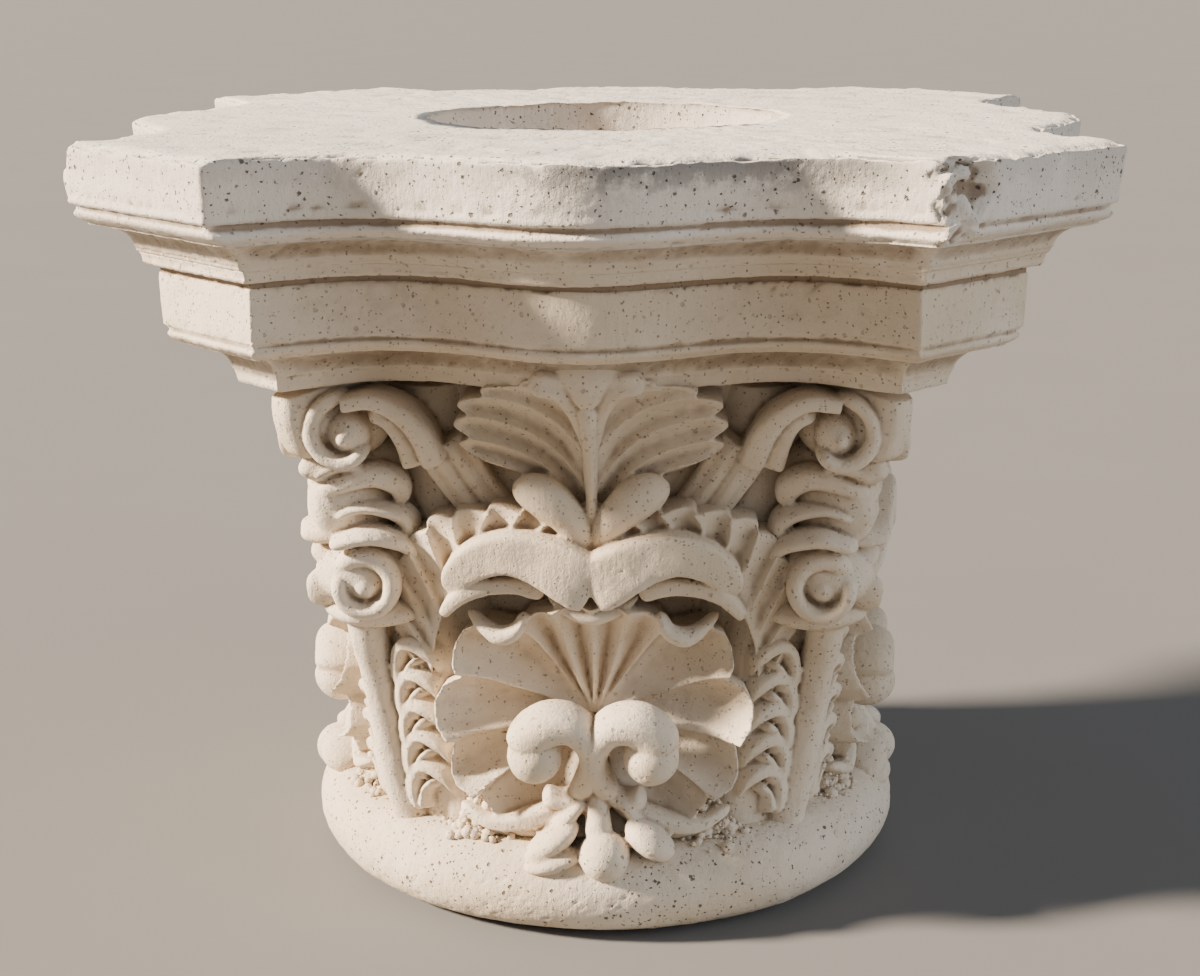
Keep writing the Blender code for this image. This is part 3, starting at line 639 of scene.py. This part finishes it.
def slabRows(levels):
    # Each level's outline at its own height
    outlines = np.stack([slabLoop(half, reach) for half, reach, up in levels])
    heights = np.broadcast_to(levels[:, 2, None, None], outlines.shape[:2] + (1,))
    return np.concatenate([outlines, heights], axis=2)


def wornSlab(name, rows, arrisRows, material, extra=None):
    # Rows in drawn millimetres. Near each arris row the stone is rubbed round and crumbles in places
    points, quads, fans = closedGrid(rows)
    normals = vertexNormals(points, quads)
    moved = weathered(points, slab["wear"])
    for row, depth in arrisRows:
        away = np.linalg.norm(rows - rows[row], axis=2).ravel()
        near = np.concatenate([np.exp(-(away / slab["wearWidth"]) ** 1.5), np.zeros(2)])
        crumbs = stoneNoise(points, slab["crumbSize"], 30 + row)
        crumbs += slab["fineCrumbs"] * stoneNoise(points, slab["fineCrumbSize"], 60 + row)
        moved -= depth * near * (slab["leastCrumble"] + np.clip(crumbs, 0, 2))
    points = points + normals * moved[:, None]
    if extra is not None:
        points = extra(points)
    gridPiece(name, points, quads, fans, normals, slab["hollowRounds"], material)


# Where the top slab is broken: a point on each break, the way it faces, and how rough it is
breaks = [
    {"at": (183, -297, 480), "faces": (0.15, -0.85, 0.5), "rough": 4.0, "reach": 24},
    {"at": (187, -291, 470), "faces": (0.60, -0.80, 0.05), "rough": 5.5, "reach": 34},
    {"at": (-297, -190, 474), "faces": (-0.95, -0.1, 0.3), "rough": 2.5, "reach": 40},
    {"at": (40, -306, 491), "faces": (0.1, -0.6, 0.8), "rough": 2.0, "reach": 16},
    {"at": (-120, -268, 491), "faces": (0.1, -0.6, 0.8), "rough": 2.0, "reach": 18},
    {"at": (300, 150, 488), "faces": (0.9, 0.1, 0.5), "rough": 2.5, "reach": 26},
    {"at": (-60, 305, 489), "faces": (-0.1, 0.7, 0.7), "rough": 2.5, "reach": 24},
]


def brokenCorners(points):
    # Points beyond a break's plane are drawn back to it, with rubble noise on the broken face. The top
    # is uneven all over
    for number, gap in enumerate(breaks):
        facing = np.array(gap["faces"]) / np.linalg.norm(gap["faces"])
        rubble = stoneNoise(points, slab["rubbleSize"], 80 + number)
        rubble += slab["fineRubble"] * stoneNoise(points, slab["fineRubbleSize"], 90 + number)
        over = (points - np.array(gap["at"])) @ facing - gap["rough"] * rubble
        close = np.linalg.norm(points - np.array(gap["at"]), axis=1) / gap["reach"]
        share = np.clip((1 - close) * 4, 0, 1)
        points = points - (np.maximum(over, 0) * share)[:, None] * facing
    onTop = np.clip((points[:, 2] - slab["topFrom"]) / slab["topFade"], 0, 1)
    rough = sum(wave(points, *row) for row in slab["topWaves"])
    return points - (rough * onTop)[:, None] * np.array([[0, 0, 1]])


def buildTopSlab(material):
    # Hollow moulding, roll and upright face, then the flat top, the hole's wall and its floor
    levels = np.concatenate([
        straightRows((120, 160, 425), (182, 260, 426), 3),
        straightRows((184, 263, 428), (184.8, 263.8, 430.4), 3),
        arcRows((184.8, 264.4, 430.8), (186, 287, 443.0), 12, True),
        straightRows((186.5, 289.5, 443.4), (186.5, 289.5, 444.6), 2),
        arcRows((187, 290.5, 444.8), (194, 293.5, 454.6), 9, False),
        straightRows((194, 293.5, 455.2), (194.6, 296.6, 456.2), 2),
        straightRows((195, 298, 458), (194.2, 301.4, 489.5), 15),
        straightRows((194, 301, 491.5), (192, 299, 493.4), 3),
    ])
    rows = slabRows(levels)
    edge = len(rows) - 1
    outer = rows[-1, :, :2]
    angle = np.arctan2(outer[:, 1], outer[:, 0])
    circle = np.stack([np.cos(angle), np.sin(angle)], axis=1)
    share = np.linspace(0, 1, 26)[1:, None, None] ** 1.35
    top = outer * (1 - share) + circle * slab["holeRadius"] * share
    top = np.concatenate([top, np.full(top.shape[:2] + (1,), design["height"])], axis=2)
    depth = np.linspace(0.02, 1, 14)[:, None, None]
    wall = np.concatenate([circle[None] * slab["holeRadius"] + 0 * depth,
                           design["height"] - slab["holeDepth"] * depth + 0 * circle[None, :, :1]], axis=2)
    inward = np.linspace(0.94, 0.06, 10)[:, None, None]
    floor = np.concatenate([circle[None] * slab["holeRadius"] * inward,
                            np.full((10, len(angle), 1), design["height"] - slab["holeDepth"])], axis=2)
    wornSlab("topSlab", np.concatenate([rows, top, wall, floor]),
             [(edge, slab["crumble"]), (33, 1.2), (20, 0.8)], material, brokenCorners)


def buildLowerSlab(material):
    # Fillet, hollow, roll, upright face and the fillet on it
    levels = np.concatenate([
        straightRows((90, 120, 346), (176, 205, 349.0), 3),
        straightRows((178, 208, 349.9), (178, 211, 358.0), 4),
        arcRows((178, 212, 358.6), (182, 237, 373.0), 12, True),
        straightRows((182.6, 239.5, 373.6), (182.6, 240.5, 374.8), 2),
        arcRows((183, 241.5, 375.0), (183, 247, 382.8), 8, False),
        straightRows((183, 247.6, 383.4), (183, 249.6, 384.4), 2),
        straightRows((183, 250.4, 385.5), (182.4, 252.0, 416.5), 15),
        straightRows((182.4, 251.0, 417.6), (182.6, 250.0, 418.2), 2),
        straightRows((183, 257.5, 419.4), (183, 260, 421.4), 2),
        straightRows((183, 260.4, 422.2), (183, 262, 428.4), 4),
        straightRows((182, 259, 429.4), (120, 160, 430.0), 3),
    ])
    wornSlab("lowerSlab", slabRows(levels), [(46, 1.3), (31, 0.9), (51, 0.9), (20, 0.6), (6, 0.7)],
             material)


ring = {
    "outer": 200.0, "points": 620, "rollRows": 52, "hollowRounds": 8,
    "wear": {"rubbed": 0.5, "swell": (34, 0.7, 41), "waves": ((8, 0.3, 42), (2.8, 0.2, 43)),
             "pitDepth": 1.1, "pits": (5.5, 1.2, 0.5, 44)},
}


def buildFootRing(material):
    # A half-round roll with a flat underside, closed by its floor and by a disc inside the bell
    half = design["ringTop"] / 2
    bend = np.linspace(-math.pi / 2, math.pi / 2, ring["rollRows"])
    reach = np.concatenate([[40, 100, 150], ring["outer"] - half + half * np.cos(bend),
                            [160, 148, 120, 60]])
    up = np.concatenate([[0, 0, 0], half + half * np.sin(bend), [57.6, 58.5, 60, 60]])
    angle = 2 * math.pi * np.arange(ring["points"]) / ring["points"]
    rows = np.stack([reach[:, None] * np.cos(angle), reach[:, None] * np.sin(angle),
                     up[:, None] + 0 * angle], axis=-1)
    points, quads, fans = closedGrid(rows)
    normals = vertexNormals(points, quads)
    shows = np.clip(points[:, 2] / 2, 0, 1)
    moved = np.minimum(weathered(points, ring["wear"]), 0)
    points = points + normals * (moved * shows)[:, None]
    gridPiece("footRing", points, quads, fans, normals, ring["hollowRounds"], material)


# Shader helper: a socket whose arithmetic adds Math nodes

class Wire:
    def __init__(self, shade, socket):
        self.shade, self.socket = shade, socket

    def sum(self, operation, *values):
        return self.shade.node("ShaderNodeMath", {"operation": operation},
                               dict(enumerate((self,) + values)))

    def __add__(self, other):
        return self.sum("ADD", other)

    def __sub__(self, other):
        return self.sum("SUBTRACT", other)

    def __mul__(self, other):
        return self.sum("MULTIPLY", other)

    def __rsub__(self, other):
        return self.shade.node("ShaderNodeMath", {"operation": "SUBTRACT"}, {0: other, 1: self})

    __radd__ = __add__
    __rmul__ = __mul__

    def between(self, low, high):
        # 0 below low, 1 above high, eased between
        return self.shade.node("ShaderNodeMapRange", {"interpolation_type": "SMOOTHSTEP"},
                               {"Value": self, "From Min": low, "From Max": high})

    def highest(self, other):
        return self.sum("MAXIMUM", other)


class Shade:
    def __init__(self, name):
        self.material = bpy.data.materials.new(name)
        self.material.use_nodes = True
        self.tree = self.material.node_tree
        self.tree.nodes.clear()

    def node(self, kind, settings, sockets, output=0):
        # Any node: its settings first, then the value or the link of each socket
        made = self.tree.nodes.new(kind)
        for key, value in settings.items():
            setattr(made, key, value)
        for key, value in sockets.items():
            if isinstance(value, Wire):
                self.tree.links.new(value.socket, made.inputs[key])
            else:
                made.inputs[key].default_value = value
        if not made.outputs:
            return made
        return Wire(self, made.outputs[output])

    def noise(self, where, scale, detail=3.0, roughness=0.55):
        return self.node("ShaderNodeTexNoise", {}, {"Vector": where, "Scale": scale, "Detail": detail,
                                                    "Roughness": roughness})

    def tinted(self, share, first, second):
        # Mix of two colours, either of which may be a wire
        return self.node("ShaderNodeMix", {"data_type": "RGBA"}, {0: share, 6: first, 7: second}, 2)

    def pits(self, where, scale, size, share):
        # Round holes in some of the cells of a Voronoi pattern
        cells = {"Vector": where, "Scale": scale}
        near = self.node("ShaderNodeTexVoronoi", {}, cells)
        tone = self.node("ShaderNodeTexVoronoi", {}, cells, 1)
        level = self.node("ShaderNodeSeparateColor", {}, {"Color": tone})
        other = Wire(self, level.socket.node.outputs[1])
        there = level.between(1 - share, 1 - share * 0.9)
        wide = size * (0.35 + 0.65 * other * other)
        return there * (1 - near.sum("DIVIDE", wide).between(0.5, 1.0))


stone = {
    "cream": (0.60, 0.50, 0.375, 1), "pale": (0.68, 0.59, 0.475, 1), "buff": (0.50, 0.40, 0.28, 1),
    "paleGrey": (0.68, 0.645, 0.60, 1), "shadow": (0.20, 0.135, 0.08, 1), "pit": (0.07, 0.05, 0.035, 1),
    "soot": (0.16, 0.15, 0.145, 1),
    "mottling": 0.5, "speckling": 0.3, "topPaling": 0.8, "upperPaling": 0.55,
    # painted shade: hollows go towards the shadow brown, fully at hollowDepth
    "paintedHollowShade": 0.80, "hollowDepth": 1.3, "sootiness": 0.85,   # the depth is in millimetres
    "roughness": 0.80, "roughnessSpread": 0.12, "specular": 0.25,
    "largePits": (190, 0.32, 0.62), "smallPits": (420, 0.38, 0.50),   # cells a metre, size, share
    "pitDarkness": 0.85, "wobble": 0.0026, "bumpStrength": 0.85, "bumpDistance": 0.0010,
}


def limestone():
    # Cream stone: mottled, paler and greyer on the upper slab and on upward faces at the top, with painted
    # shade in hollows, sooty under the front edge, pitted
    shade = Shade("limestone")
    place = shade.node("ShaderNodeTexCoord", {}, {}, 3)
    split = shade.node("ShaderNodeSeparateXYZ", {}, {"Vector": place})
    x, y, z = (Wire(shade, split.socket.node.outputs[axis]) for axis in range(3))
    facing = shade.node("ShaderNodeNewGeometry", {}, {}, 1)
    up = Wire(shade, shade.node("ShaderNodeSeparateXYZ", {}, {"Vector": facing}).socket.node.outputs[2])
    hollow = shade.node("ShaderNodeAttribute", {"attribute_name": "hollow"}, {}, 2)

    broad = shade.noise(place, 9, 4)
    mottle = shade.noise(place, 46, 4, 0.6)
    speck = shade.noise(place, 420, 3, 0.7)
    colour = shade.tinted(broad.between(0.38, 0.66), stone["cream"], stone["pale"])
    colour = shade.tinted(mottle.between(0.5, 0.8) * stone["mottling"], colour, stone["buff"])
    colour = shade.tinted(speck.between(0.55, 0.8) * stone["speckling"], colour, stone["buff"])
    # The top slab goes towards a paler grey, fully from its upright face up, and so do upward faces at the
    # very top
    onTop = up.between(0.5, 0.95) * z.between(0.47, 0.485)
    paleGrey = (z.between(0.425, 0.46) * stone["upperPaling"]).highest(onTop * stone["topPaling"])
    colour = shade.tinted(paleGrey, colour, stone["paleGrey"])
    # Painted shade: the deeper a point lies in a hollow, the more its colour goes to the shadow brown
    deep = hollow.between(0.0, stone["hollowDepth"])
    colour = shade.tinted(deep * stone["paintedHollowShade"], colour, stone["shadow"])

    stain = shade.noise(place, 52, 6, 0.72)
    edge = z.between(0.455, 0.492) * (1 - onTop)
    front = (1 - y.between(-0.27, -0.25)) * x.between(-0.08, 0.0) * (1 - x.between(0.15, 0.18))
    soot = (edge * (0.25 + 0.75 * front) * (stain + edge * 0.35).between(0.60, 0.76))
    colour = shade.tinted(soot * stone["sootiness"], colour, stone["soot"])

    low = 1 - z.between(0.05, 0.07)
    pitted = (0.35 + 0.65 * low.highest(z.between(0.44, 0.47)))
    wobble = shade.node("ShaderNodeTexNoise", {}, {"Vector": place, "Scale": 500, "Detail": 2}, 1)
    bent = shade.node("ShaderNodeVectorMath", {"operation": "MULTIPLY_ADD"},
                      {0: wobble, 1: (stone["wobble"],) * 3, 2: place})
    large = shade.pits(bent, *stone["largePits"]) * pitted
    small = shade.pits(bent, *stone["smallPits"]) * (0.45 + 0.55 * pitted)
    holes = large.highest(small)
    colour = shade.tinted(holes * stone["pitDarkness"], colour, stone["pit"])

    grain = shade.noise(place, 900, 3, 0.7)
    strokes = shade.node("ShaderNodeMapping", {}, {"Vector": place, "Rotation": (0.4, 0.6, 0.3),
                                                   "Scale": (1.0, 1.0, 0.25)})
    tooling = shade.noise(strokes, 300, 2, 0.6)
    height = grain * 0.35 + tooling * 0.6 + speck * 0.6 - holes * 2.0
    bump = shade.node("ShaderNodeBump", {}, {"Height": height, "Strength": stone["bumpStrength"],
                                             "Distance": stone["bumpDistance"]})
    roughness = stone["roughness"] + stone["roughnessSpread"] * mottle
    shader = shade.node("ShaderNodeBsdfPrincipled", {},
                        {"Base Color": colour, "Roughness": roughness, "Normal": bump,
                         "Specular IOR Level": stone["specular"]})
    shade.node("ShaderNodeOutputMaterial", {}, {"Surface": shader})
    return shade.material


grit = {
    "stones": 1800, "smallest": 1.1, "largest": 4.6, "beside": 0.33, "heapWide": 9, "heapDeep": 7,
    "heapReach": 166, "heapHigh": 26, "turnRadius": 170, "jagged": 0.35,
}


def buildGrit(material):
    # Small stones of twenty faces each, lying on the foot ring. Heaps of them stand on both sides of
    # every corner, highest in their middles
    random = np.random.default_rng(9)
    golden = (1 + math.sqrt(5)) / 2
    ball = np.array([(-1, golden, 0), (1, golden, 0), (-1, -golden, 0), (1, -golden, 0), (0, -1, golden),
                     (0, 1, golden), (0, -1, -golden), (0, 1, -golden), (golden, 0, -1), (golden, 0, 1),
                     (-golden, 0, -1), (-golden, 0, 1)]) / math.sqrt(1 + golden ** 2)
    sides = np.array([(0, 11, 5), (0, 5, 1), (0, 1, 7), (0, 7, 10), (0, 10, 11), (1, 5, 9), (5, 11, 4),
                      (11, 10, 2), (10, 7, 6), (7, 1, 8), (3, 9, 4), (3, 4, 2), (3, 2, 6), (3, 6, 8),
                      (3, 8, 9), (4, 9, 5), (2, 4, 11), (6, 2, 10), (8, 6, 7), (9, 8, 1)])
    count = grit["stones"]
    heap = random.integers(0, 8, count)
    side = np.where(heap % 2, 1, -1)
    spread = random.normal(0, 1, (count, 2)) * np.array([[grit["heapWide"], grit["heapDeep"]]])
    beside = grit["beside"] + spread[:, 0] / grit["turnRadius"]
    angle = (heap // 2) * math.pi / 2 + math.pi / 4 + side * beside
    reach = grit["heapReach"] + spread[:, 1]
    off = np.hypot(spread[:, 0] / grit["heapWide"], spread[:, 1] / grit["heapDeep"])
    size = grit["smallest"] + (grit["largest"] - grit["smallest"]) * random.random(count) ** 2.5
    half = design["ringTop"] / 2
    middle = ring["outer"] - half
    lift = grit["heapHigh"] * np.clip(1 - off / 2, 0, 1) * random.random(count)
    up = half + np.sqrt(np.clip(half ** 2 - np.clip(reach - middle, 0, half) ** 2, 0, None)) + lift
    where = np.stack([reach * np.cos(angle), reach * np.sin(angle), up], axis=1)
    stretch = 1 + random.uniform(-grit["jagged"], grit["jagged"], (count, 12, 3))
    points = ball[None] * stretch * size[:, None, None] + where[:, None]
    faces = sides[None] + 12 * np.arange(count)[:, None, None]
    points = inMetres(points.reshape(-1, 3))
    thing = meshObject("grit", points, faces.reshape(-1, 3), np.zeros(len(points)))
    stonePiece(thing, material)


ground = {
    "half": 60, "below": 0.0005, "roughness": 0.8,
    "dark": (0.150, 0.147, 0.142, 1), "light": (0.168, 0.165, 0.160, 1),
}


def buildFloor():
    # One wide flat face just under the stone, in a slightly mottled plain tone
    corners = np.array([(-1, -1, 0), (1, -1, 0), (1, 1, 0), (-1, 1, 0)], float) * ground["half"]
    thing = meshObject("floor", corners - (0, 0, ground["below"]), np.array([[0, 1, 2, 3]]))
    shade = Shade("paleFloor")
    place = shade.node("ShaderNodeTexCoord", {}, {}, 3)
    tone = shade.tinted(shade.noise(place, 3, 3), ground["dark"], ground["light"])
    shader = shade.node("ShaderNodeBsdfPrincipled", {},
                        {"Base Color": tone, "Roughness": ground["roughness"]})
    shade.node("ShaderNodeOutputMaterial", {}, {"Surface": shader})
    thing.data.materials.append(shade.material)


# Camera: where it stands, which way it looks (radians), and its focal length in the photo's pixels
shot = {"away": 1.3550, "round": 0.0445, "up": 0.5926, "down": 0.2540, "roll": -0.0058, "aside": 0.0022,
        "focal": 2056.17, "imageWidth": 1200, "sensor": 36.0}


def buildCamera():
    # The axes are the view turned by the heading, dipped and rolled. The lens is the focal length in
    # pixels times the sensor's width over the picture's
    camera = bpy.data.objects.new("camera", bpy.data.cameras.new("camera"))
    bpy.context.collection.objects.link(camera)
    turn = shot["round"] + shot["aside"]
    ahead = Vector((-math.sin(turn) * math.cos(shot["down"]), math.cos(turn) * math.cos(shot["down"]),
                    -math.sin(shot["down"])))
    right = Vector((math.cos(turn), math.sin(turn), 0))
    above = right.cross(ahead)
    c, s = math.cos(shot["roll"]), math.sin(shot["roll"])
    axes = Matrix((right * c + above * s, above * c - right * s, -ahead)).transposed()
    camera.matrix_world = axes.to_4x4()
    camera.location = (shot["away"] * math.sin(shot["round"]),
                       -shot["away"] * math.cos(shot["round"]), shot["up"])
    camera.data.sensor_width = shot["sensor"]
    camera.data.lens = shot["focal"] * shot["sensor"] / shot["imageWidth"]
    bpy.context.scene.camera = camera


lighting = {
    "sun": {"towards": (-0.871, -0.144, 0.469), "power": 20.0, "colour": (1.0, 0.84, 0.67), "spread": 0.12},
    "fill": {"towards": (0.93, -0.27, 0.25), "power": 2.0, "colour": (0.84, 0.91, 1.0), "spread": 0.9},
    "skyColour": (0.90, 0.94, 1.0), "skyPower": 0.30,
}


def buildLights():
    # A low warm sun from the left, a broad cool light from the front right, and an even sky
    for name in ("sun", "fill"):
        light = bpy.data.lights.new(name, "SUN")
        light.energy, light.color = lighting[name]["power"], lighting[name]["colour"]
        light.angle = lighting[name]["spread"]
        holder = bpy.data.objects.new(name, light)
        bpy.context.collection.objects.link(holder)
        holder.rotation_euler = Vector(lighting[name]["towards"]).to_track_quat("Z", "Y").to_euler()
    world = bpy.data.worlds.new("sky")
    world.use_nodes = True
    world.node_tree.nodes["Background"].inputs[0].default_value = (*lighting["skyColour"], 1)
    world.node_tree.nodes["Background"].inputs[1].default_value = lighting["skyPower"]
    bpy.context.scene.world = world


buildCamera()
buildLights()
buildFloor()
print("camera, lights and floor set")
limestoneMaterial = limestone()
buildTopSlab(limestoneMaterial)
buildLowerSlab(limestoneMaterial)
buildFootRing(limestoneMaterial)
arms = armShapes() + scrollShapes() + palmetteShapes()
sideSkin = carvedSkin([bellSector(40)] + arms + [mirrored(shape) for shape in arms] + tongueShapes()
                      + shellShapes() + flowerShapes() + palmetteMiddle())
cornerFaces = [face for shape in voluteShapes() + curledLeafShapes() for face in bothFaces(shape)]
cornerSkin = carvedSkin(cornerFaces + cornerShapes() + stalkLeaflets())
print("carving fused")
for quarterTurn in range(4):
    carvedPiece(f"leafSide{quarterTurn + 1}", sideSkin, quarterTurn, carving["sideFaces"],
                limestoneMaterial)
    carvedPiece(f"leafCorner{quarterTurn + 1}", cornerSkin, quarterTurn, carving["cornerFaces"],
                limestoneMaterial)
buildGrit(limestoneMaterial)
